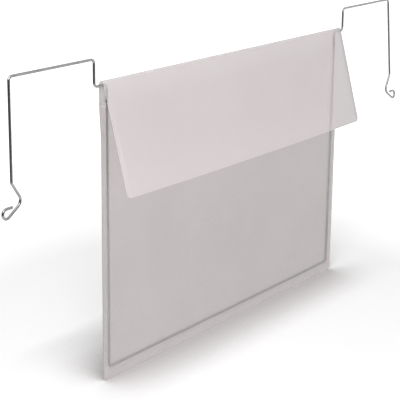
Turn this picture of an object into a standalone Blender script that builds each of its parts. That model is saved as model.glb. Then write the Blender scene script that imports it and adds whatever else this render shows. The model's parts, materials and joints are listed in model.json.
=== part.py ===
"""Hanging document pocket: a welded film pocket with a rain flap, carried by one bent steel wire.

Lengths are in metres. X runs along the pocket's width, from left to right as seen from the front,
Y runs from the front to the back, and Z runs up. The origin lies midway between the two hanging
arms, in the plane of the wire and level with the underside of the arms.
"""

import math

import bmesh
import bpy
from mathutils import Matrix, Vector

# The document that the pocket holds, lying on its long side.
DOCUMENT_WIDTH = 0.297
DOCUMENT_HEIGHT = 0.210
DOCUMENT_SIDE_PLAY = 0.002
DOCUMENT_HEADROOM = 0.0074
SLOT_DEPTH = 0.0046

# The film and its margins outside the wire.
FILM_THICKNESS = 0.0004
SIDE_MARGIN = 0.0055
BOTTOM_MARGIN = 0.0086
FILM_CORNER_RADIUS = 0.0028

# The front sheet: a flat seam outside the wire, a flank beside it, and a face below the fold.
FLANK_STANDOFF = 0.0023
FLANK_RUN = 0.0034
MOUTH_DROP = 0.016

# The rain flap: a roll at the top of the back sheet and a flat sheet that stands off the front.
FOLD_RADIUS = 0.0022
FLAP_LENGTH = 0.0829
FLAP_INSET = 0.0003
FLAP_LEAN = math.radians(15.6)
FLAP_CORNER_RADIUS = 0.004

# The wire: the frame inside the pocket, the step out under the fold, the riser and the arm.
WIRE_DIAMETER = 0.002
WIRE_BEND_RADIUS = 0.003
FRAME_CORNER_RADIUS = 0.002
JOG_DROP = 0.0033
RISER_OUTSTAND = 0.0067
ARM_RISE = 0.0163
ARM_LENGTH = 0.0811

# The sprung leg of each hook: a straight run, a kick towards the pocket, and a curled end.
# The right leg leans forward a little, turned about its arm.
LEG_LENGTH = 0.0714
LEFT_LEG_LEAN = 0.0
RIGHT_LEG_LEAN = math.radians(4.5)
KICK_IN = 0.0095
KICK_DROP = 0.0140
KICK_BEND_RADIUS = 0.005
CURL_RADIUS = 0.0034
CURL_OUT = 0.0052
CURL_DROP = 0.0057
TIP_LENGTH = 0.0055

# Gaps between neighbouring pieces.
CLEARANCE = 0.0003
HINGE_GAP = 0.0003
SPRING_GAP = 0.0005

# How finely the round forms are divided.
WIRE_SIDES = 12
ARC_STEP = math.radians(15)

# Levels and planes that follow from the sizes above.
WIRE_RADIUS = WIRE_DIAMETER / 2
ARM_Z = WIRE_RADIUS
FOLD_TOP_Z = ARM_Z - ARM_RISE
CREASE_Z = FOLD_TOP_Z - FOLD_RADIUS
JOG_Z = FOLD_TOP_Z - JOG_DROP
POCKET_HEIGHT = BOTTOM_MARGIN + WIRE_DIAMETER + DOCUMENT_HEIGHT + DOCUMENT_HEADROOM
POCKET_BOTTOM_Z = FOLD_TOP_Z - POCKET_HEIGHT
FRAME_BOTTOM_Z = POCKET_BOTTOM_Z + BOTTOM_MARGIN + WIRE_RADIUS
MOUTH_Z = FOLD_TOP_Z - MOUTH_DROP

FRAME_SIDE_X = DOCUMENT_WIDTH / 2 + DOCUMENT_SIDE_PLAY + WIRE_RADIUS
POCKET_SIDE_X = FRAME_SIDE_X + WIRE_RADIUS + SIDE_MARGIN
FLAP_SIDE_X = POCKET_SIDE_X - FLAP_INSET
RISER_X = POCKET_SIDE_X + RISER_OUTSTAND
LEG_X = RISER_X + ARM_LENGTH
SPRING_X = LEG_X - WIRE_BEND_RADIUS

SLOT_BACK_Y = WIRE_RADIUS + CLEARANCE
BACK_Y = SLOT_BACK_Y + FILM_THICKNESS
SEAM_Y = SLOT_BACK_Y - CLEARANCE
FACE_Y = SLOT_BACK_Y - SLOT_DEPTH


def clear_scene():
    for obj in list(bpy.data.objects):
        bpy.data.objects.remove(obj, do_unlink=True)


def make_material(name, colour, roughness, metallic, transmission):
    material = bpy.data.materials.new(name)
    material.use_nodes = True
    shader = material.node_tree.nodes["Principled BSDF"]
    shader.inputs["Base Color"].default_value = (*colour, 1.0)
    shader.inputs["Roughness"].default_value = roughness
    shader.inputs["Metallic"].default_value = metallic
    shader.inputs["Transmission Weight"].default_value = transmission
    return material


def make_object(name, bm, material, origin=Vector((0.0, 0.0, 0.0))):
    """Turns a bmesh in world coordinates into an object whose origin is the given point."""
    bmesh.ops.translate(bm, verts=bm.verts, vec=-origin)
    mesh = bpy.data.meshes.new(name)
    bm.to_mesh(mesh)
    bm.free()
    mesh.shade_smooth()
    mesh.set_sharp_from_angle(angle=math.radians(35))
    mesh.materials.append(material)
    obj = bpy.data.objects.new(name, mesh)
    obj.location = origin
    bpy.context.scene.collection.objects.link(obj)
    return obj


def thicken(obj, offset):
    """Gives a surface the film's thickness, along its normals (1) or against them (-1)."""
    modifier = obj.modifiers.new("Film", "SOLIDIFY")
    modifier.thickness = FILM_THICKNESS
    modifier.offset = offset
    modifier.use_even_offset = True
    modifier.use_quality_normals = True


def arc(centre, radius, start, end):
    """Points along an arc in a plane, both ends included."""
    steps = max(2, math.ceil(abs(end - start) / ARC_STEP))
    angles = [start + (end - start) * i / steps for i in range(steps + 1)]
    return [centre + radius * Vector((math.cos(a), math.sin(a))) for a in angles]


def lower_corner(side, side_x, radius, bottom_z):
    """The rounded lower corner of a sheet in (x, z), from its bottom edge to its side edge."""
    centre = Vector((side_x - radius, bottom_z + radius))
    points = arc(centre, radius, -math.pi / 2, 0.0)
    return [Vector((side * p.x, p.y)) for p in points]


def build_back_sheet(material):
    bm = bmesh.new()
    right = lower_corner(1, POCKET_SIDE_X, FILM_CORNER_RADIUS, POCKET_BOTTOM_Z)
    left = lower_corner(-1, POCKET_SIDE_X, FILM_CORNER_RADIUS, POCKET_BOTTOM_Z)
    top_z = CREASE_Z - HINGE_GAP
    top = [Vector((POCKET_SIDE_X, top_z)), Vector((-POCKET_SIDE_X, top_z))]
    outline = right + top + left[::-1]
    face = bm.faces.new([bm.verts.new((p.x, BACK_Y, p.y)) for p in reversed(outline)])
    face.normal_update()
    sheet = make_object("back_sheet", bm, material)
    thicken(sheet, -1)


def build_front_sheet(material):
    """A shallow tray, open at its top: seams on three sides, flanks, and a flat face."""
    bm = bmesh.new()
    side_seam = SIDE_MARGIN - FLANK_STANDOFF
    bottom_seam = BOTTOM_MARGIN - FLANK_STANDOFF
    xs = [POCKET_SIDE_X, POCKET_SIDE_X - side_seam, POCKET_SIDE_X - side_seam - FLANK_RUN]
    xs = [-x for x in xs] + xs[::-1]
    flank_foot_z = POCKET_BOTTOM_Z + bottom_seam
    zs = [POCKET_BOTTOM_Z, flank_foot_z, flank_foot_z + FLANK_RUN, MOUTH_Z]
    face_columns = (2, 3)
    face_rows = (2, 3)

    def vertex(column, row):
        on_face = column in face_columns and row in face_rows
        return bm.verts.new((xs[column], FACE_Y if on_face else SEAM_Y, zs[row]))

    grid = [[vertex(column, row) for row in range(len(zs))] for column in range(len(xs))]
    last = len(xs) - 2
    radius = min(FILM_CORNER_RADIUS, side_seam, bottom_seam)
    for column in range(len(xs) - 1):
        for row in range(len(zs) - 1):
            a, b = grid[column][row], grid[column + 1][row]
            c, d = grid[column + 1][row + 1], grid[column][row + 1]
            if row == 0 and column in (0, last):
                side = 1 if column else -1
                corner = lower_corner(side, POCKET_SIDE_X, radius, POCKET_BOTTOM_Z)
                rounded = [bm.verts.new((p.x, SEAM_Y, p.y)) for p in corner]
                bm.faces.new([a, *rounded, c, d] if side > 0 else [b, c, d, *rounded[::-1]])
            elif row == 1 and column == 1:
                bm.faces.new([a, b, c])
                bm.faces.new([a, c, d])
            elif row == 1 and column == last - 1:
                bm.faces.new([a, b, d])
                bm.faces.new([b, c, d])
            else:
                bm.faces.new([a, b, c, d])
    loose = [v for v in bm.verts if not v.link_faces]
    bmesh.ops.delete(bm, geom=loose, context="VERTS")
    bmesh.ops.recalc_face_normals(bm, faces=bm.faces)
    bm.normal_update()
    if sum(face.normal.y * face.calc_area() for face in bm.faces) > 0:
        bmesh.ops.reverse_faces(bm, faces=bm.faces)
    sheet = make_object("front_sheet", bm, material)
    thicken(sheet, 1)


def build_rain_flap(material):
    """The roll over the top of the back sheet and the flat flap below it, turning on the crease."""
    bm = bmesh.new()
    crease = Vector((0.0, BACK_Y, CREASE_Z))
    roll = arc(Vector((BACK_Y - FOLD_RADIUS, CREASE_Z)), FOLD_RADIUS, 0.0, math.pi - FLAP_LEAN)
    down = Vector((-math.sin(FLAP_LEAN), -math.cos(FLAP_LEAN)))
    rows = [[bm.verts.new((x, p.x, p.y)) for x in (-FLAP_SIDE_X, FLAP_SIDE_X)] for p in roll]
    for upper, lower in zip(rows, rows[1:]):
        bm.faces.new([upper[0], upper[1], lower[1], lower[0]])

    def on_flap(x, run):
        point = roll[-1] + run * down
        return bm.verts.new((x, point.x, point.y))

    right = lower_corner(1, FLAP_SIDE_X, FLAP_CORNER_RADIUS, -FLAP_LENGTH)
    left = lower_corner(-1, FLAP_SIDE_X, FLAP_CORNER_RADIUS, -FLAP_LENGTH)
    right = [on_flap(p.x, -p.y) for p in right]
    left = [on_flap(p.x, -p.y) for p in left]
    bm.faces.new([rows[-1][0], rows[-1][1], *right[::-1], *left])
    bm.normal_update()
    if bm.faces[:][-1].normal.y > 0:
        bmesh.ops.reverse_faces(bm, faces=bm.faces)
    flap = make_object("rain_flap", bm, material, crease)
    thicken(flap, -1)


def bend(points, radii):
    """A path in (x, z) through straight runs, with an arc of the given radius at each inner corner."""
    path = [points[0]]
    for before, corner, after, radius in zip(points, points[1:], points[2:], radii):
        into = (corner - before).normalized()
        out = (after - corner).normalized()
        turn = into.angle_signed(out)
        side = Vector((-into.y, into.x)) * (-1.0 if turn > 0 else 1.0)
        start = corner - into * radius * math.tan(abs(turn) / 2)
        centre = start + side * radius
        first = math.atan2(-side.y, -side.x)
        path += arc(centre, radius, first, first - turn)
    return path + [points[-1]]


def build_wire(name, path, material, origin=Vector((0.0, 0.0, 0.0)), lean=0.0):
    """A round wire along a flat path in (x, z), whose plane may lean forward about the arms."""
    bm = bmesh.new()
    corner_radius = WIRE_RADIUS / math.cos(math.pi / WIRE_SIDES)
    angles = [2 * math.pi * (i + 0.5) / WIRE_SIDES for i in range(WIRE_SIDES)]
    rings = []
    for i, point in enumerate(path):
        along = (path[min(i + 1, len(path) - 1)] - path[max(i - 1, 0)]).normalized()
        normal = Vector((-along.y, along.x))
        ring = []
        for a in angles:
            flat = point + normal * corner_radius * math.cos(a)
            ring.append(bm.verts.new((flat.x, corner_radius * math.sin(a), flat.y)))
        rings.append(ring)
    for ring, following in zip(rings, rings[1:]):
        for i in range(WIRE_SIDES):
            j = (i + 1) % WIRE_SIDES
            bm.faces.new([ring[i], ring[j], following[j], following[i]])
    bm.faces.new(rings[0])
    bm.faces.new(rings[-1])
    bmesh.ops.recalc_face_normals(bm, faces=bm.faces)
    turn = Matrix.Rotation(-lean, 3, "X")
    bmesh.ops.rotate(bm, verts=bm.verts, cent=(0.0, 0.0, ARM_Z), matrix=turn)
    make_object(name, bm, material, origin)


def build_wire_frame(material):
    """Both arms, risers and steps, and the frame down the sides and along the bottom."""
    arm_end = SPRING_X - SPRING_GAP / 2
    half = [Vector((arm_end, ARM_Z)), Vector((RISER_X, ARM_Z)), Vector((RISER_X, JOG_Z)),
            Vector((FRAME_SIDE_X, JOG_Z)), Vector((FRAME_SIDE_X, FRAME_BOTTOM_Z))]
    radii = [WIRE_BEND_RADIUS, WIRE_BEND_RADIUS, WIRE_BEND_RADIUS, FRAME_CORNER_RADIUS]
    other_half = [Vector((-p.x, p.y)) for p in reversed(half)]
    build_wire("wire_frame", bend(half + other_half, radii + radii[::-1]), material)


def hook_path():
    """The right hook's path in (x, z), from the shoulder of the arm to the curled tip."""
    kick_start = Vector((LEG_X, ARM_Z - LEG_LENGTH))
    kick_end = kick_start + Vector((-KICK_IN, -KICK_DROP))
    centre = kick_end + Vector((KICK_IN + CURL_OUT, -CURL_DROP))
    to_centre = centre - kick_end
    off_axis = math.asin(CURL_RADIUS / to_centre.length)
    heading = math.atan2(to_centre.y, to_centre.x) - off_axis
    run = math.sqrt(to_centre.length_squared - CURL_RADIUS ** 2)
    touch = kick_end + run * Vector((math.cos(heading), math.sin(heading)))
    start_angle = heading - math.pi / 2
    curl = arc(centre, CURL_RADIUS, start_angle, math.pi / 2)
    tip = curl[-1] + Vector((-TIP_LENGTH, 0.0))
    leg = [Vector((SPRING_X + SPRING_GAP / 2, ARM_Z)), Vector((LEG_X, ARM_Z)), kick_start,
           kick_end, touch]
    shoulder_radius = WIRE_BEND_RADIUS - SPRING_GAP / 2
    path = bend(leg, [shoulder_radius, WIRE_BEND_RADIUS, KICK_BEND_RADIUS])
    return path[:-1] + curl + [tip]


def build_hooks(material):
    path = hook_path()
    for name, side, lean in (("left_hook", -1, LEFT_LEG_LEAN), ("right_hook", 1, RIGHT_LEG_LEAN)):
        shoulder = Vector((side * SPRING_X, 0.0, ARM_Z))
        side_path = [Vector((side * p.x, p.y)) for p in path]
        build_wire(name, side_path, material, shoulder, lean)


def main():
    clear_scene()
    film = make_material("translucent_film", (0.80, 0.81, 0.80), 0.4, 0.0, 0.6)
    flap_film = make_material("frosted_film", (0.84, 0.85, 0.85), 0.5, 0.0, 0.5)
    front_film = make_material("clear_film", (0.78, 0.79, 0.78), 0.35, 0.0, 0.7)
    steel = make_material("bright_wire", (0.55, 0.55, 0.56), 0.3, 1.0, 0.0)
    build_back_sheet(film)
    build_front_sheet(front_film)
    build_rain_flap(flap_film)
    build_wire_frame(steel)
    build_hooks(steel)


main()
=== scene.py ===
import json
import math

import bmesh
import bpy
from mathutils import Matrix, Vector


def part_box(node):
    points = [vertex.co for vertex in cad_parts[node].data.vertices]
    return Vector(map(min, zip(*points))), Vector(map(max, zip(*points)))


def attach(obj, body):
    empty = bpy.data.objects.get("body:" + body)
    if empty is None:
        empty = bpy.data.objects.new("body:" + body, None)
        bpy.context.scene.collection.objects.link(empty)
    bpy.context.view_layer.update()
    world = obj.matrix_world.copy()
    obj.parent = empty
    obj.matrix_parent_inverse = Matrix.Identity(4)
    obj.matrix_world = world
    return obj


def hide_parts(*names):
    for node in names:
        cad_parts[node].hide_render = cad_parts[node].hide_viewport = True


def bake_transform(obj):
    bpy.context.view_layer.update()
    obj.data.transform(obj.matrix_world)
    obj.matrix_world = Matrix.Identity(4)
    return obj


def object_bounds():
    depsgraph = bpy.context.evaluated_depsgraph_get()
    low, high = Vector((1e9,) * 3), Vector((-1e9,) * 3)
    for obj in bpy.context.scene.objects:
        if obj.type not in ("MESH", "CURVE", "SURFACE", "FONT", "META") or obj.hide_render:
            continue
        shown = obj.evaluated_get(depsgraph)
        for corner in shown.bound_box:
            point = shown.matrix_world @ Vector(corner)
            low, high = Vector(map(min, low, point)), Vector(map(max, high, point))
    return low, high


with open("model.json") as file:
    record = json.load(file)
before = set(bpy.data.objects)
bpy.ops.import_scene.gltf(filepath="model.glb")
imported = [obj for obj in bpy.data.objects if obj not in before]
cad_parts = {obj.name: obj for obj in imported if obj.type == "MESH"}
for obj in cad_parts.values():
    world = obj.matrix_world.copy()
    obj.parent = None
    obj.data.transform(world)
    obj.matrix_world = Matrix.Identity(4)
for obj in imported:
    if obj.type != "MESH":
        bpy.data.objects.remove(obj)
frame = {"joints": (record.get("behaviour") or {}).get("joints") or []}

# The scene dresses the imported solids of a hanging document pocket: frosted back film and rain flap,
# a clearer front film welded to the back, and one bright wire. Lengths are in metres.

cad_low, cad_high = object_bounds()
back_low, back_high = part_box("back_sheet")
front_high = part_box("front_sheet")[1]
flap_low, flap_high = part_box("rain_flap")
wire_low, wire_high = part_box("wire_frame")
joint_at = {joint["name"]: Vector(joint["pos_m"]) for joint in frame["joints"]}

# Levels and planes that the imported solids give.
FILM = back_high.y - back_low.y
SIDE_X = back_high.x
BOTTOM_Z = back_low.z
BACK_Y = (back_low.y + back_high.y) / 2
MOUTH_Z = front_high.z
CREASE = joint_at["flap_hinge"]
FOLD_TOP_Z = flap_high.z
FOLD_RADIUS = FOLD_TOP_Z - CREASE.z
FLAP_SIDE_X = flap_high.x
WIRE_RADIUS = wire_high.y
ARM_Z = joint_at["right_hook_spring"].z
SPRING_X = joint_at["right_hook_spring"].x
FRAME_BOTTOM_Z = wire_low.z + WIRE_RADIUS

# The film's margins and corners. The empty pocket lies flat on its wire, closed along a narrow weld.
SEAM = 0.0012
SEAM_RUN = 0.0034
SEAM_START = 0.03
WELD_GAP = 0.00005
WELD_LINE = 0.0007
WELD_WIDTH = 0.0003
WELD_DEPTH = 0.00002
WIRE_PLAY = 0.00015
FILM_CORNER = 0.0045
FLAP_CORNER = 0.004
FLAP_LEAN = math.radians(15.6)

# Where the faces of the films lie in front of and behind the wire.
FACE_Y = -WIRE_RADIUS - WIRE_PLAY - FILM / 2

# How far the film stands away from its flat form.
POCKET_BOW = 0.0003
FLAP_BOW = 0.0022
FLAP_BOW_POWER = 1.3
FACE_BELLY = 0.0005

# The film's unevenness: a small wave and a longer one, both fading out towards the edges.
RIPPLE = 0.00012
RIPPLE_FADE = 0.03
RIPPLE_X, RIPPLE_X_PHASE = 0.013, 1.3
RIPPLE_Z, RIPPLE_Z_PHASE = 0.017, 0.4
SWELL_X, SWELL_Z, SWELL_PHASE = 0.029, 0.021, 2.0
SWELL_SHARE = 0.7
BACK_RIPPLE_SHARE = 0.6
FLAP_RIPPLE_SHARE = 0.6
FLAP_RIPPLE_X, FLAP_RIPPLE_RUN = 0.021, 0.017

# How finely the films are divided.
SHARP_ANGLE = math.radians(40)
SEAM_STEPS = 5
SEAM_RUN_STEPS = 10
POCKET_COLUMNS = 52
POCKET_CORNER_STEPS = 16
POCKET_WELD_LEVELS = 4
POCKET_LEVELS = 44
ROLL_STEPS = 22
FLAP_STEPS = 26
FLAP_COLUMNS = 56
FLAP_CORNER_STEPS = 8

# The share of a film's cover that holds light back from what lies behind it: a small one out to
# SHADE_NEAR, and a larger one from SHADE_FAR on.
SHADE_NEAR = 0.06
SHADE_FAR = 0.14
SHARE_NEAR = 0.25
SHARE_FAR = 2.6

# The wire's course.
FRAME_X = SIDE_X - 0.0065
RISER_X = SIDE_X + 0.0067
JOG_Z = FOLD_TOP_Z - 0.0033
BEND_RADIUS = 0.003
BEND_SPARE = 0.00001  # keeps the shoulder's arc just shorter than the run that it starts on
FRAME_CORNER = 0.002
LEG_X = SPRING_X + BEND_RADIUS
LEG_LENGTH = 0.0714
RIGHT_LEG_LEAN = math.radians(4.5)
KICK_IN = 0.0095
KICK_DROP = 0.0140
KICK_BEND_RADIUS = 0.005
CURL_RADIUS = 0.0034
CURL_OUT = 0.0052
CURL_DROP = 0.0057
TIP_LENGTH = 0.0055
TIP_CHAMFER = 0.0003
WIRE_SIDES = 20
CURL_STEPS = 30
CAP_ANGLE = math.radians(80)
CAP_STEPS = 6
ARC_STEP = math.radians(6)
RUN_STEP = 0.006

# The finishes.
ROUGHNESS_SPREAD = 0.06
FILM_IOR = 1.46
FILM_SCATTER = 0.4
FILM_SCATTER_DEPTH = 0.0004
EDGE_DEEP = 0.9
WIRE_DARK = (0.29, 0.29, 0.295, 1.0)
WIRE_LIGHT = (0.36, 0.36, 0.365, 1.0)
AO_SAMPLES = 8

# The studio.
FLOOR_GAP = 0.0001
FLOOR_RADIUS = 12.0
FLOOR_SIDES = 96
SCREEN_STEPS = 24

# The camera, as fitted to the photograph. Lengths in the picture are in its pixels.
PICTURE_SIZE = 400
PICTURE_FOCAL = 1251.73
PICTURE_CENTRE_Y = 160
SENSOR_WIDTH = 36.0
CAMERA_AZIMUTH = math.radians(-52.560)
CAMERA_ELEVATION = math.radians(15.058)
CAMERA_ROLL = math.radians(0.672)
CAMERA_ACROSS, CAMERA_UP, CAMERA_AWAY = 0.02720, 0.10188, 0.99107
CAMERA_RAISE = 0.0005
CLIP_START, CLIP_END = 0.01, 60.0


def smooth(t):
    """0 to 1 with a soft start and a soft end."""
    t = min(max(t, 0.0), 1.0)
    return t * t * (3 - 2 * t)


def spread(first, last, count):
    """Even steps from first to last."""
    return [first + (last - first) * i / count for i in range(count + 1)]


def pocket_bow(x, z):
    """How far the middle of the pocket stands forward of its flat form, more towards the bottom."""
    across = max(0.0, 1 - (x / SIDE_X) ** 2)
    down = min(max((FOLD_TOP_Z - z) / (FOLD_TOP_Z - BOTTOM_Z), 0.0), 1.0)
    return POCKET_BOW * across * down


def ripple(x, z):
    """A slight unevenness of the film that dies out towards the edges."""
    inside = smooth((SIDE_X - abs(x)) / RIPPLE_FADE) * smooth((z - BOTTOM_Z) / RIPPLE_FADE)
    wave = math.sin(x / RIPPLE_X + RIPPLE_X_PHASE) * math.sin(z / RIPPLE_Z + RIPPLE_Z_PHASE)
    wave += SWELL_SHARE * math.sin(x / SWELL_X - z / SWELL_Z + SWELL_PHASE)
    return RIPPLE * inside * wave


def half_width(z, side, bottom, radius):
    """Half the width of a sheet with rounded lower corners, at a level above its bottom."""
    rise = min(max(z - bottom, 0.0), radius)
    return side - radius + math.sqrt(radius ** 2 - (radius - rise) ** 2)


def corner_levels(bottom, radius, count):
    """Levels up a rounded corner, closest together at its foot."""
    angles = spread(0.0, math.pi / 2, count)
    return [bottom + radius * (1 - math.cos(a)) for a in angles]


def link(name, mesh, materials):
    """A smooth-shaded object of a mesh, in the scene."""
    mesh.shade_smooth()
    mesh.set_sharp_from_angle(angle=SHARP_ANGLE)
    for material in materials:
        mesh.materials.append(material)
    obj = bpy.data.objects.new(name, mesh)
    bpy.context.scene.collection.objects.link(obj)
    return obj


def film_sheet(name, rows, materials):
    """A film of even thickness through rows of points, with a cut edge of its own material."""
    bm = bmesh.new()
    grid = [[bm.verts.new(p) for p in row] for row in rows]
    for lower, upper in zip(grid, grid[1:]):
        for i in range(len(lower) - 1):
            bm.faces.new([lower[i], lower[i + 1], upper[i + 1], upper[i]])
    bm.normal_update()
    mesh = bpy.data.meshes.new(name)
    bm.to_mesh(mesh)
    bm.free()
    obj = link(name, mesh, materials)
    film = obj.modifiers.new("Film", "SOLIDIFY")
    film.thickness = FILM
    film.offset = 0.0
    film.use_even_offset = True
    film.use_quality_normals = True
    film.material_offset_rim = 1
    return obj


def spread_out(x, z):
    """0 on the weld along the sides and the bottom, 1 where the films lie apart around the wire."""
    across = smooth((SIDE_X - abs(x) - SEAM) / SEAM_RUN)
    return across * smooth((z - BOTTOM_Z - SEAM) / SEAM_RUN)


def seam_plane(z):
    """Where the back film lies along the weld: at the back by the mouth, on the wire's plane below."""
    return BACK_Y - BACK_Y * smooth((MOUTH_Z - z) / SEAM_START)


def back_point(x, z):
    """Where the back film lies: flat at the back by the mouth, against the wire below."""
    weld = seam_plane(z)
    face = BACK_Y - (BACK_Y + FACE_Y) * smooth((MOUTH_Z - z) / SEAM_START)
    y = weld + (face - weld) * spread_out(x, z)
    return Vector((x, y - pocket_bow(x, z) - BACK_RIPPLE_SHARE * ripple(x, z), z))


def front_point(x, z):
    """Where the front film lies: welded to the back film at its rim, in front of the wire inside it."""
    weld = seam_plane(z) - FILM - WELD_GAP
    apart = spread_out(x, z)
    rim = min(SIDE_X - abs(x), z - BOTTOM_Z)
    y = weld + (FACE_Y - weld) * apart
    y += WELD_DEPTH * math.exp(-((rim - WELD_LINE) / WELD_WIDTH) ** 2)
    height = min(max((z - BOTTOM_Z) / (MOUTH_Z - BOTTOM_Z), 0.0), 1.0)
    belly = FACE_BELLY * apart * math.sin(math.pi * height)
    return Vector((x, y - belly - pocket_bow(x, z) - ripple(x, z), z))


def pocket_columns():
    """Places across the pocket, close together on the welds."""
    side = spread(0.0, SEAM, SEAM_STEPS) + spread(SEAM, SEAM + SEAM_RUN, SEAM_RUN_STEPS)[1:]
    inner = SIDE_X - side[-1]
    right = [SIDE_X - d for d in side]
    return [-x for x in right] + spread(-inner, inner, POCKET_COLUMNS)[1:-1] + right[::-1]


def pocket_levels(top):
    """Levels from the bottom of the pocket up, close together on the weld and the rounded corners."""
    levels = corner_levels(BOTTOM_Z, FILM_CORNER, POCKET_CORNER_STEPS)
    corner_end = BOTTOM_Z + FILM_CORNER
    levels += spread(corner_end, corner_end + SEAM_RUN, POCKET_WELD_LEVELS)[1:]
    return levels + spread(levels[-1], top, POCKET_LEVELS)[1:]


def pocket_sheet(name, top, point, materials):
    """One of the pocket's two films, up to a level, through the points that a function gives."""
    rows = []
    for z in pocket_levels(top):
        share = half_width(z, SIDE_X, BOTTOM_Z, FILM_CORNER) / SIDE_X
        rows.append([point(x * share, z) for x in pocket_columns()])
    return film_sheet(name, rows, materials)


def rain_flap(materials):
    """The roll over the top of the back film and the flap below it, which leans away from the front."""
    middle = Vector((CREASE.y - FOLD_RADIUS, CREASE.z))
    radius = FOLD_RADIUS - FILM / 2
    profile = []
    for a in spread(0.0, math.pi - FLAP_LEAN, ROLL_STEPS):
        profile.append(middle + radius * Vector((math.cos(a), math.sin(a))))
    down = Vector((-math.sin(FLAP_LEAN), -math.cos(FLAP_LEAN)))
    end = profile[-1]
    length = (end.y - flap_low.z - FILM / 2 * math.sin(FLAP_LEAN)) / math.cos(FLAP_LEAN)
    runs = spread(0.0, length - FLAP_CORNER, FLAP_STEPS)[1:]
    corner = corner_levels(0.0, FLAP_CORNER, FLAP_CORNER_STEPS)
    runs += [length - level for level in corner][::-1][1:]
    shares = spread(-1.0, 1.0, FLAP_COLUMNS)
    rows = [[Vector((FLAP_SIDE_X * s, p.x, p.y)) for s in shares] for p in profile]
    for run in runs:
        point = end + run * down
        half = half_width(length - run, FLAP_SIDE_X, 0.0, FLAP_CORNER)
        row = []
        for s in shares:
            x = half * s
            across = 1 - (x / FLAP_SIDE_X) ** 2
            forward = FLAP_BOW * across * (run / length) ** FLAP_BOW_POWER
            wave = math.sin(x / FLAP_RIPPLE_X + run / FLAP_RIPPLE_RUN)
            forward += FLAP_RIPPLE_SHARE * RIPPLE * smooth(run / RIPPLE_FADE) * wave
            row.append(Vector((x, point.x - forward, point.y)))
        rows.append(row)
    return film_sheet("rain_flap_film", rows, materials)


def bend(points, radii):
    """A path in (x, z) through straight runs, with an arc of the given radius at each inner corner."""
    path = [points[0]]
    for before, corner, after, radius in zip(points, points[1:], points[2:], radii):
        into = (corner - before).normalized()
        out = (after - corner).normalized()
        turn = into.angle_signed(out)
        side = Vector((-into.y, into.x)) * (-1.0 if turn > 0 else 1.0)
        start = corner - into * radius * math.tan(abs(turn) / 2)
        centre = start + side * radius
        first = math.atan2(-side.y, -side.x)
        steps = max(2, math.ceil(abs(turn) / ARC_STEP))
        arc = spread(first, first - turn, steps)
        path += [centre + radius * Vector((math.cos(a), math.sin(a))) for a in arc]
    return path + [points[-1]]


def divide(path):
    """The same path with its long straight runs cut into short ones."""
    fine = [path[0]]
    for before, after in zip(path, path[1:]):
        pieces = max(1, math.ceil((after - before).length / RUN_STEP))
        fine += [before.lerp(after, i / pieces) for i in range(1, pieces + 1)]
    return fine


def wire(name, path, materials, forward, round_start, round_end):
    """A round wire along a path in (x, z), with a rounded or a cut end."""
    stations = []
    for i, point in enumerate(path):
        along = (path[min(i + 1, len(path) - 1)] - path[max(i - 1, 0)]).normalized()
        stations.append((point, along, WIRE_RADIUS))

    def cap(point, along, rounded):
        if rounded:
            angles = spread(0.0, CAP_ANGLE, CAP_STEPS)[1:]
            return [(point + along * WIRE_RADIUS * math.sin(a), along, WIRE_RADIUS * math.cos(a))
                    for a in angles]
        return [(point + along * TIP_CHAMFER, along, WIRE_RADIUS - TIP_CHAMFER)]

    first, last = stations[0], stations[-1]
    before = [(p, -a, r) for p, a, r in cap(first[0], -first[1], round_start)]
    stations = before[::-1] + stations + cap(last[0], last[1], round_end)

    bm = bmesh.new()
    layer = bm.loops.layers.uv.new("Length")
    angles = [2 * math.pi * i / WIRE_SIDES for i in range(WIRE_SIDES)]
    rings = []
    runs = [0.0]
    for (p, along, radius), following in zip(stations, stations[1:] + stations[-1:]):
        normal = Vector((-along.y, along.x))
        ring = []
        for a in angles:
            flat = p + normal * radius * math.cos(a)
            ring.append(bm.verts.new((flat.x, radius * math.sin(a) - forward(p), flat.y)))
        rings.append(ring)
        runs.append(runs[-1] + (following[0] - p).length)
    for k, (ring, following) in enumerate(zip(rings, rings[1:])):
        for i in range(WIRE_SIDES):
            j = (i + 1) % WIRE_SIDES
            face = bm.faces.new([ring[i], ring[j], following[j], following[i]])
            around = [i, i + 1, i + 1, i]
            length = [runs[k], runs[k], runs[k + 1], runs[k + 1]]
            for loop, u, v in zip(face.loops, around, length):
                loop[layer].uv = (u / WIRE_SIDES, v)
    bm.faces.new(rings[0])
    bm.faces.new(rings[-1])
    bmesh.ops.recalc_face_normals(bm, faces=bm.faces)
    mesh = bpy.data.meshes.new(name)
    bm.to_mesh(mesh)
    bm.free()
    return link(name, mesh, materials)


def frame_wire(materials):
    """The wire from shoulder to shoulder, in the plane of the pocket and following its bow."""
    half = [Vector((SPRING_X, ARM_Z)), Vector((RISER_X, ARM_Z)), Vector((RISER_X, JOG_Z)),
            Vector((FRAME_X, JOG_Z)), Vector((FRAME_X, FRAME_BOTTOM_Z))]
    radii = [BEND_RADIUS, BEND_RADIUS, BEND_RADIUS, FRAME_CORNER]
    other_half = [Vector((-p.x, p.y)) for p in reversed(half)]
    path = divide(bend(half + other_half, radii + radii[::-1]))
    return wire("frame_wire", path, materials, lambda p: pocket_bow(p.x, p.y), True, True)


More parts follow.
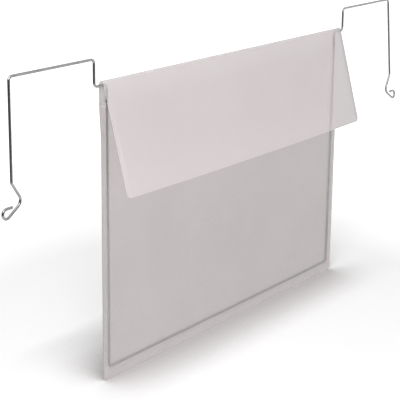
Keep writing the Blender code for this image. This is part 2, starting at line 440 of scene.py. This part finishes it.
def hook_wire(name, side, lean, materials):
    """One sprung leg from its shoulder to the curled end, tilted forward by its lean."""
    kick_start = Vector((LEG_X, ARM_Z - LEG_LENGTH))
    kick_end = kick_start + Vector((-KICK_IN, -KICK_DROP))
    centre = kick_end + Vector((KICK_IN + CURL_OUT, -CURL_DROP))
    to_centre = centre - kick_end
    off_axis = math.asin(CURL_RADIUS / to_centre.length)
    heading = math.atan2(to_centre.y, to_centre.x) - off_axis
    run = math.sqrt(to_centre.length_squared - CURL_RADIUS ** 2)
    touch = kick_end + run * Vector((math.cos(heading), math.sin(heading)))
    turns = spread(heading - math.pi / 2, math.pi / 2, CURL_STEPS)
    curl = [centre + CURL_RADIUS * Vector((math.cos(a), math.sin(a))) for a in turns]
    tip = curl[-1] + Vector((TIP_CHAMFER - TIP_LENGTH, 0.0))
    leg = [Vector((SPRING_X, ARM_Z)), Vector((LEG_X, ARM_Z)), kick_start, kick_end, touch]
    path = bend(leg, [BEND_RADIUS - BEND_SPARE, BEND_RADIUS, KICK_BEND_RADIUS])
    path = divide(path[:-1] + curl + [tip])
    path = [Vector((side * p.x, p.y)) for p in path]
    hook = wire(name, path, materials, lambda p: 0.0, True, False)
    shoulder = Matrix.Translation((0.0, 0.0, ARM_Z))
    hook.data.transform(shoulder @ Matrix.Rotation(-lean, 4, "X") @ shoulder.inverted())
    return hook


def node(tree, kind, **values):
    """A new shader node with its input sockets set by name."""
    made = tree.nodes.new(kind)
    for socket, value in values.items():
        made.inputs[socket.replace("_", " ")].default_value = value
    return made


def new_material(name):
    """A new node material, with its tree and its shader."""
    material = bpy.data.materials.new(name)
    material.use_nodes = True
    tree = material.node_tree
    return material, tree, tree.nodes["Principled BSDF"]


def stretched(tree, source, scale):
    """A vector scaled along each axis by itself."""
    mapping = tree.nodes.new("ShaderNodeMapping")
    mapping.inputs["Scale"].default_value = scale
    tree.links.new(source, mapping.inputs["Vector"])
    return mapping.outputs["Vector"]


def noise(tree, vector, scale, detail):
    """A noise value at a vector."""
    made = node(tree, "ShaderNodeTexNoise", Scale=scale, Detail=detail)
    tree.links.new(vector, made.inputs["Vector"])
    return made.outputs["Fac"]


def ramp(tree, source, first, last, low=0.3, high=0.7):
    """A value or colour that runs from first to last as the source runs from low to high."""
    made = tree.nodes.new("ShaderNodeValToRGB")
    made.color_ramp.elements[0].position = low
    made.color_ramp.elements[1].position = high
    made.color_ramp.elements[0].color = first
    made.color_ramp.elements[1].color = last
    tree.links.new(source, made.inputs["Fac"])
    return made.outputs["Color"]


def grey(value):
    return (value, value, value, 1.0)


def bump(tree, source, strength, distance, before=None):
    """A normal tilted by a height, on top of another normal if one is given."""
    made = node(tree, "ShaderNodeBump", Strength=strength, Distance=distance)
    tree.links.new(source, made.inputs["Height"])
    if before is not None:
        tree.links.new(before, made.inputs["Normal"])
    return made.outputs["Normal"]


def veil(tree, cover):
    """Cover on the outward faces alone, so that a film counts once. For shadow rays the cover is a share
    that grows with distance: what lies close behind a film gets most of the light that it scatters."""
    inner_side = tree.nodes.new("ShaderNodeNewGeometry").outputs["Backfacing"]
    path = tree.nodes.new("ShaderNodeLightPath")
    outward = node(tree, "ShaderNodeMapRange", To_Min=cover, To_Max=0.0)
    tree.links.new(inner_side, outward.inputs["Value"])
    held = node(tree, "ShaderNodeMapRange", From_Min=SHADE_NEAR, From_Max=SHADE_FAR,
                To_Min=SHARE_NEAR, To_Max=SHARE_FAR)
    tree.links.new(path.outputs["Ray Length"], held.inputs["Value"])
    passing = node(tree, "ShaderNodeMapRange", To_Min=1.0)
    tree.links.new(path.outputs["Is Shadow Ray"], passing.inputs["Value"])
    tree.links.new(held.outputs["Result"], passing.inputs["To Max"])
    both = tree.nodes.new("ShaderNodeMath")
    both.operation = "MULTIPLY"
    tree.links.new(outward.outputs["Result"], both.inputs[0])
    tree.links.new(passing.outputs["Result"], both.inputs[1])
    return both.outputs["Value"]


def film_material(name, dark, light, roughness, grain, cover):
    """Satin plastic film: cloudy in the large, finely grained in the small, with faint rolling lines."""
    material, tree, shader = new_material(name)
    place = tree.nodes.new("ShaderNodeTexCoord").outputs["Object"]
    cloud = noise(tree, place, scale=14.0, detail=3.0)
    fine = noise(tree, place, scale=1900.0, detail=2.0)
    lines = noise(tree, stretched(tree, place, (6.0, 6.0, 420.0)), scale=1.0, detail=2.0)
    tree.links.new(ramp(tree, cloud, (*dark, 1.0), (*light, 1.0)), shader.inputs["Base Color"])
    smoothest, roughest = grey(roughness - ROUGHNESS_SPREAD), grey(roughness + ROUGHNESS_SPREAD)
    tree.links.new(ramp(tree, fine, smoothest, roughest), shader.inputs["Roughness"])
    rolled = bump(tree, lines, strength=0.10, distance=0.0002)
    grained = bump(tree, fine, strength=grain, distance=0.00006, before=rolled)
    tree.links.new(grained, shader.inputs["Normal"])
    shader.inputs["IOR"].default_value = FILM_IOR
    shader.inputs["Subsurface Weight"].default_value = FILM_SCATTER
    shader.inputs["Subsurface Radius"].default_value = (1.0, 1.0, 1.0)
    shader.inputs["Subsurface Scale"].default_value = FILM_SCATTER_DEPTH
    tree.links.new(veil(tree, cover), shader.inputs["Alpha"])
    return material


def frosted_film(name, dark, light):
    """Milky film that light passes through: what lies close behind it shows as a soft shade."""
    return film_material(name, dark, light, roughness=0.32, grain=0.20, cover=0.37)


def clear_film(name, dark, light):
    """A clearer film with a slight haze."""
    return film_material(name, dark, light, roughness=0.25, grain=0.12, cover=0.34)


def edge_material(name, colour):
    """The cut edge of the film, a little deeper in tone than its faces."""
    material, tree, shader = new_material(name)
    place = tree.nodes.new("ShaderNodeTexCoord").outputs["Object"]
    cut = noise(tree, place, scale=900.0, detail=2.0)
    deep = tuple(EDGE_DEEP * c for c in colour)
    tree.links.new(ramp(tree, cut, (*deep, 1.0), (*colour, 1.0)), shader.inputs["Base Color"])
    tree.links.new(ramp(tree, cut, grey(0.45), grey(0.6)), shader.inputs["Roughness"])
    tree.links.new(veil(tree, cover=1.0), shader.inputs["Alpha"])
    return material


def wire_material():
    """Bright drawn steel wire: die lines along its length, faint bands of tone, soft gloss."""
    material, tree, shader = new_material("bright_wire_finish")
    place = tree.nodes.new("ShaderNodeUVMap").outputs["UV"]
    lines = noise(tree, stretched(tree, place, (26.0, 40.0, 1.0)), scale=1.0, detail=3.0)
    bands = noise(tree, stretched(tree, place, (2.0, 150.0, 1.0)), scale=1.0, detail=2.0)
    tree.links.new(ramp(tree, bands, WIRE_DARK, WIRE_LIGHT), shader.inputs["Base Color"])
    tree.links.new(ramp(tree, lines, grey(0.20), grey(0.34)), shader.inputs["Roughness"])
    tree.links.new(bump(tree, lines, strength=0.15, distance=0.00004), shader.inputs["Normal"])
    shader.inputs["Metallic"].default_value = 1.0
    return material


def seen_white(tree):
    """1 for rays that look at the background directly, in a reflection or through the film."""
    path = tree.nodes.new("ShaderNodeLightPath")
    total = path.outputs["Is Camera Ray"]
    for name in ("Is Glossy Ray", "Is Transmission Ray"):
        either = tree.nodes.new("ShaderNodeMath")
        either.operation = "MAXIMUM"
        tree.links.new(total, either.inputs[0])
        tree.links.new(path.outputs[name], either.inputs[1])
        total = either.outputs[0]
    return total


def make_world(level):
    """Even light from all round at a level, seen as white."""
    world = bpy.data.worlds.new("studio")
    bpy.context.scene.world = world
    world.use_nodes = True
    tree = world.node_tree
    tree.nodes.clear()
    strength = node(tree, "ShaderNodeMapRange", To_Min=level, To_Max=1.0)
    tree.links.new(seen_white(tree), strength.inputs["Value"])
    background = node(tree, "ShaderNodeBackground", Color=(1.0, 1.0, 1.0, 1.0))
    tree.links.new(strength.outputs["Result"], background.inputs["Strength"])
    output = tree.nodes.new("ShaderNodeOutputWorld")
    tree.links.new(background.outputs["Background"], output.inputs["Surface"])


def nearness(tree, reach, towards, shade, closed):
    """Painted shadow: white, or a shade painted into the colour where the object stands within reach and
    closes off a direction, as ambient occlusion finds it. The shade is full where the share left open
    is down to closed."""
    near = node(tree, "ShaderNodeAmbientOcclusion", Distance=reach)
    near.samples = AO_SAMPLES
    tilt = node(tree, "ShaderNodeCombineXYZ", X=towards.x, Y=towards.y, Z=towards.z)
    tree.links.new(tilt.outputs["Vector"], near.inputs["Normal"])
    return ramp(tree, near.outputs["AO"], (*shade, 1.0), grey(1.0), low=closed, high=1.0)


def blend(tree, kind, factor, first, last):
    """Two colours mixed, each a socket or a fixed colour."""
    mix = tree.nodes.new("ShaderNodeMix")
    mix.data_type = "RGBA"
    mix.blend_type = kind
    for socket, value in (("Factor", factor), ("A", first), ("B", last)):
        if isinstance(value, bpy.types.NodeSocket):
            tree.links.new(value, mix.inputs[socket])
        else:
            mix.inputs[socket].default_value = value
    return mix.outputs["Result"]


def by_distance(tree, origin, near, far, first, last):
    """A value that runs from first to last as the distance from a place runs from near to far."""
    place = tree.nodes.new("ShaderNodeNewGeometry").outputs["Position"]
    length = tree.nodes.new("ShaderNodeVectorMath")
    length.operation = "DISTANCE"
    length.inputs[1].default_value = origin
    tree.links.new(place, length.inputs[0])
    made = node(tree, "ShaderNodeMapRange", From_Min=near, From_Max=far, To_Min=first, To_Max=last)
    tree.links.new(length.outputs["Value"], made.inputs["Value"])
    return made.outputs["Result"]


def make_floor(level, albedo, painted_contact_shade, painted_cast_shade, bounce, lift, behind_film):
    """A pale floor that shows white away from the object, keeps the lamps' shadow and is grey behind
    film. Round the object's foot a shade from ambient occlusion is painted into its colour, a painted
    shadow that only rays looking at the floor see. It gives the object an even bounce of light, and only
    rays that look at the floor see it lifted."""
    mesh = bpy.data.meshes.new("floor")
    bm = bmesh.new()
    bmesh.ops.create_circle(bm, cap_ends=True, segments=FLOOR_SIDES, radius=FLOOR_RADIUS)
    bmesh.ops.translate(bm, verts=bm.verts, vec=(0.0, 0.0, level))
    bm.to_mesh(mesh)
    bm.free()
    material = bpy.data.materials.new("floor_paint")
    material.use_nodes = True
    tree = material.node_tree
    tree.nodes.clear()
    path = tree.nodes.new("ShaderNodeLightPath")
    # Painted shadow: two shades from ambient occlusion darken the floor's colour round the object.
    shadow = blend(tree, "MULTIPLY", 1.0, nearness(tree, **painted_contact_shade), nearness(tree, **painted_cast_shade))
    shaded = blend(tree, "MULTIPLY", 1.0, shadow, grey(albedo))
    seen = blend(tree, "MIX", path.outputs["Is Camera Ray"], grey(albedo), shaded)
    paint = tree.nodes.new("ShaderNodeBsdfDiffuse")
    tree.links.new(seen, paint.inputs["Color"])
    glow = tree.nodes.new("ShaderNodeEmission")
    tree.links.new(seen, glow.inputs["Color"])
    strength = node(tree, "ShaderNodeMapRange", To_Min=bounce)
    tree.links.new(seen_white(tree), strength.inputs["Value"])
    tree.links.new(by_distance(tree, **lift), strength.inputs["To Max"])
    tree.links.new(strength.outputs["Result"], glow.inputs["Strength"])
    both = tree.nodes.new("ShaderNodeAddShader")
    tree.links.new(paint.outputs["BSDF"], both.inputs[0])
    tree.links.new(glow.outputs["Emission"], both.inputs[1])
    veiled = node(tree, "ShaderNodeEmission", Color=grey(1.0), Strength=behind_film)
    through = tree.nodes.new("ShaderNodeMath")
    through.operation = "MULTIPLY"
    tree.links.new(path.outputs["Is Camera Ray"], through.inputs[0])
    tree.links.new(path.outputs["Transparent Depth"], through.inputs[1])
    either = tree.nodes.new("ShaderNodeMixShader")
    tree.links.new(through.outputs["Value"], either.inputs["Fac"])
    tree.links.new(both.outputs["Shader"], either.inputs[1])
    tree.links.new(veiled.outputs["Emission"], either.inputs[2])
    output = tree.nodes.new("ShaderNodeOutputMaterial")
    tree.links.new(either.outputs["Shader"], output.inputs["Surface"])
    link("floor", mesh, [material])


def make_sun(name, towards, width, strength):
    """A broad soft light from one part of the ceiling."""
    data = bpy.data.lights.new(name, "SUN")
    data.angle = math.radians(width)
    data.energy = strength
    lamp = bpy.data.objects.new(name, data)
    lamp.rotation_euler = (-Vector(towards)).to_track_quat("-Z", "Y").to_euler()
    bpy.context.scene.collection.objects.link(lamp)


def make_softbox(name, middle, towards, away, size, power):
    """A round lamp near enough for its light to fall off across the object."""
    data = bpy.data.lights.new(name, "AREA")
    data.shape = "DISK"
    data.size = size
    data.energy = power
    lamp = bpy.data.objects.new(name, data)
    way = Vector(towards).normalized()
    lamp.location = middle + away * way
    lamp.rotation_euler = (-way).to_track_quat("-Z", "Y").to_euler()
    lamp.visible_camera = False
    bpy.context.scene.collection.objects.link(lamp)


def make_dark_side(middle, half_angle, radius, low, high, tone):
    """The unlit side of the studio, a low curved screen that shows only in reflections: a painted dark
    reflection, a faint glow that no other ray sees.
    """
    bm = bmesh.new()
    rows = []
    for a in spread(middle - half_angle, middle + half_angle, SCREEN_STEPS):
        x, y = radius * math.cos(a), radius * math.sin(a)
        rows.append((bm.verts.new((x, y, low)), bm.verts.new((x, y, high))))
    for one, two in zip(rows, rows[1:]):
        bm.faces.new([one[0], two[0], two[1], one[1]])
    mesh = bpy.data.meshes.new("dark_side")
    bm.to_mesh(mesh)
    bm.free()
    material = bpy.data.materials.new("dark_side")
    material.use_nodes = True
    tree = material.node_tree
    tree.nodes.clear()
    glow = node(tree, "ShaderNodeEmission", Color=grey(1.0), Strength=tone)
    output = tree.nodes.new("ShaderNodeOutputMaterial")
    tree.links.new(glow.outputs["Emission"], output.inputs["Surface"])
    screen = link("dark_side", mesh, [material])
    screen.visible_camera = False
    screen.visible_diffuse = False
    screen.visible_transmission = False
    screen.visible_shadow = False
    screen.visible_volume_scatter = False


def make_camera():
    """A camera at the photograph's viewing angle."""
    level = Vector((math.cos(CAMERA_AZIMUTH), math.sin(CAMERA_AZIMUTH), 0.0))
    ahead = Vector((-math.sin(CAMERA_AZIMUTH), math.cos(CAMERA_AZIMUTH), 0.0))
    back = Vector((0.0, 0.0, math.sin(CAMERA_ELEVATION))) - ahead * math.cos(CAMERA_ELEVATION)
    upright = back.cross(level)
    right = level * math.cos(CAMERA_ROLL) + upright * math.sin(CAMERA_ROLL)
    up = upright * math.cos(CAMERA_ROLL) - level * math.sin(CAMERA_ROLL)
    place = CAMERA_AWAY * back - CAMERA_ACROSS * right - CAMERA_UP * up
    place += Vector((0.0, 0.0, CAMERA_RAISE))
    data = bpy.data.cameras.new("camera")
    data.sensor_width = SENSOR_WIDTH
    data.lens = PICTURE_FOCAL / PICTURE_SIZE * SENSOR_WIDTH
    data.shift_y = (PICTURE_CENTRE_Y - PICTURE_SIZE / 2) / PICTURE_SIZE
    data.clip_start = CLIP_START
    data.clip_end = CLIP_END
    camera = bpy.data.objects.new("camera", data)
    camera.matrix_world = Matrix.Translation(place) @ Matrix((right, up, back)).transposed().to_4x4()
    bpy.context.scene.collection.objects.link(camera)
    bpy.context.scene.camera = camera


# Lit and shaded copies of one frosted sheet: the flap and the back film are the same film, and the back
# film's copy is painted darker, painted shade for the light that the flap and the front film keep from
# it.
frosted_flap = frosted_film("frosted_flap_film", (0.985, 0.855, 0.865), (1.0, 0.89, 0.90))
frosted_back_shaded_copy = frosted_film("frosted_back_film", (0.68, 0.60, 0.60), (0.72, 0.64, 0.64))
clear = clear_film("clear_film", (0.59, 0.535, 0.535), (0.63, 0.575, 0.575))
pocket_edge = edge_material("pocket_film_edge", (0.43, 0.41, 0.41))
flap_edge = edge_material("flap_film_edge", (0.74, 0.69, 0.69))
steel = wire_material()

back = pocket_sheet("back_film", CREASE.z, back_point, [frosted_back_shaded_copy, pocket_edge])
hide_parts("back_sheet")
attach(back, "pocket")

front = pocket_sheet("front_film", MOUTH_Z, front_point, [clear, pocket_edge])
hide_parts("front_sheet")
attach(front, "pocket")

flap = rain_flap([frosted_flap, flap_edge])
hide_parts("rain_flap")
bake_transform(flap)

inner_wire = frame_wire([steel])
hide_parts("wire_frame")
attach(inner_wire, "pocket")

hooks = ((-1, 0.0, "left_hook", "left_leg"), (1, RIGHT_LEG_LEAN, "right_hook", "right_leg"))
for side, lean, hook, body in hooks:
    leg = hook_wire(hook + "_wire", side, lean, [steel])
    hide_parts(hook)
    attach(leg, body)

make_world(level=0.36)
# Painted shadow on the floor: a short shade all round the object's foot, and a longer one towards the
# back and the right.
painted_contact_shade = {"reach": 0.053, "towards": Vector((0.0, 0.0, 1.0)), "shade": (0.64, 0.615, 0.615),
           "closed": 0.65}
painted_cast_shade = {"reach": 0.088, "towards": Vector((-0.75, -0.65, 0.10)).normalized(),
        "shade": (0.32, 0.31, 0.31), "closed": 0.52}
lift = {"origin": Vector((0.0, 0.0, BOTTOM_Z)), "near": 0.22, "far": 0.48, "first": 0.23, "last": 0.75}
make_floor(level=BOTTOM_Z - FLOOR_GAP, albedo=0.95, painted_contact_shade=painted_contact_shade, painted_cast_shade=painted_cast_shade, bounce=0.24, lift=lift,
           behind_film=0.50)
make_sun("overhead", towards=(-0.10, -0.05, 1.0), width=90.0, strength=0.40)
make_sun("key", towards=(-0.64, -0.44, 0.70), width=75.0, strength=0.5)
make_softbox("softbox", middle=(cad_low + cad_high) / 2, towards=(-0.70, -0.40, 0.64), away=1.0,
             size=0.50, power=3.6)
make_dark_side(middle=math.radians(-157), half_angle=math.radians(85), radius=0.55,
               low=BOTTOM_Z, high=ARM_Z + 0.10, tone=0.10)
make_camera()
bpy.context.scene.view_settings.view_transform = "Standard"
